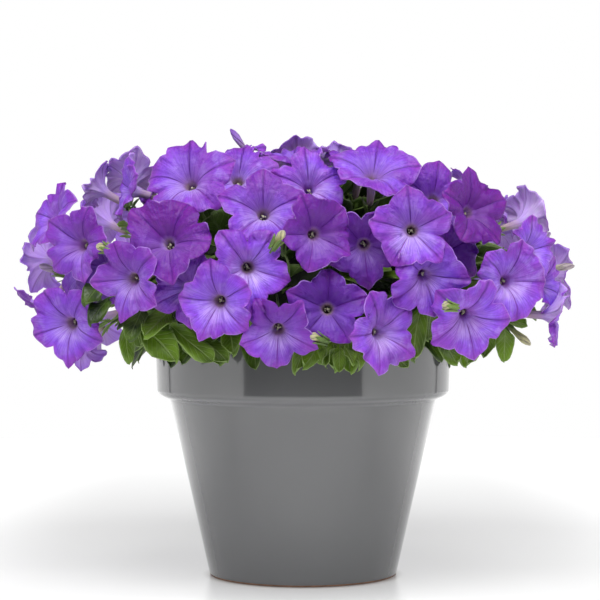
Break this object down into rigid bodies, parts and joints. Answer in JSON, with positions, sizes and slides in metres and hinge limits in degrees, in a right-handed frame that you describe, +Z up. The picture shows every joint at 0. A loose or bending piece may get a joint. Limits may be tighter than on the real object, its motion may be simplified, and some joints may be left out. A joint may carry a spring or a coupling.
{
  "type": "potted petunia",
  "caption": "Bushy petunia in full violet bloom, spilling over the rim of a tapered glazed flower pot that stands on its flat foot.",
  "frame": {"origin": "centre of the pot's flat foot, on the ground", "axes": "+Z up, -Y towards the viewer of the picture, +X to the viewer's right"},
  "size_m": [0.4584, 0.4424, 0.3659],
  "materials": {
    "pot": "gloss",
    "soil": "matte",
    "petal": "matte",
    "leaf": "matte"
  },
  "bodies": {
    "root": {"pot": "pot", "soil": "soil", "bloom_01": "petal", "bloom_03": "petal", "bloom_04_06": "petal", "bloom_07": "petal", "bloom_08_09": "petal", "bloom_11": "petal", "bloom_13": "petal", "bloom_05_14": "petal", "bloom_15": "petal", "bloom_16": "petal", "bloom_17": "petal", "bloom_18": "petal", "bloom_20_21": "petal", "bloom_22": "petal", "bloom_24": "petal", "bloom_25": "petal", "bloom_10_26": "petal", "bloom_19_23_27": "petal", "bloom_28_29": "petal", "bloom_30": "petal", "bloom_33": "petal", "bloom_34": "petal", "bloom_35": "petal", "bloom_38": "petal", "bloom_39": "petal", "bloom_31_40": "petal", "bloom_32_41": "petal", "bloom_42": "petal", "bloom_43": "petal", "bloom_44": "petal", "bloom_45": "petal", "bloom_46": "petal", "bloom_47": "petal", "bloom_48": "petal", "bloom_49": "petal", "bloom_50": "petal", "bloom_52": "petal", "bloom_53": "petal", "bloom_54": "petal", "bloom_51_55": "petal", "bloom_56": "petal", "bloom_57": "petal", "bloom_58": "petal", "bloom_59": "petal", "bloom_60": "petal", "bloom_62": "petal", "bloom_02_63_64": "petal", "bloom_12_65": "petal", "bloom_66": "petal", "bloom_36_37_61_67": "petal", "leafy_stem_1": "leaf", "leafy_stem_2": "leaf", "leafy_stem_3": "leaf", "leafy_stem_4": "leaf", "leafy_stem_5": "leaf", "leafy_stem_6": "leaf", "leafy_stem_middle": "leaf"}
  },
  "joints": []
}
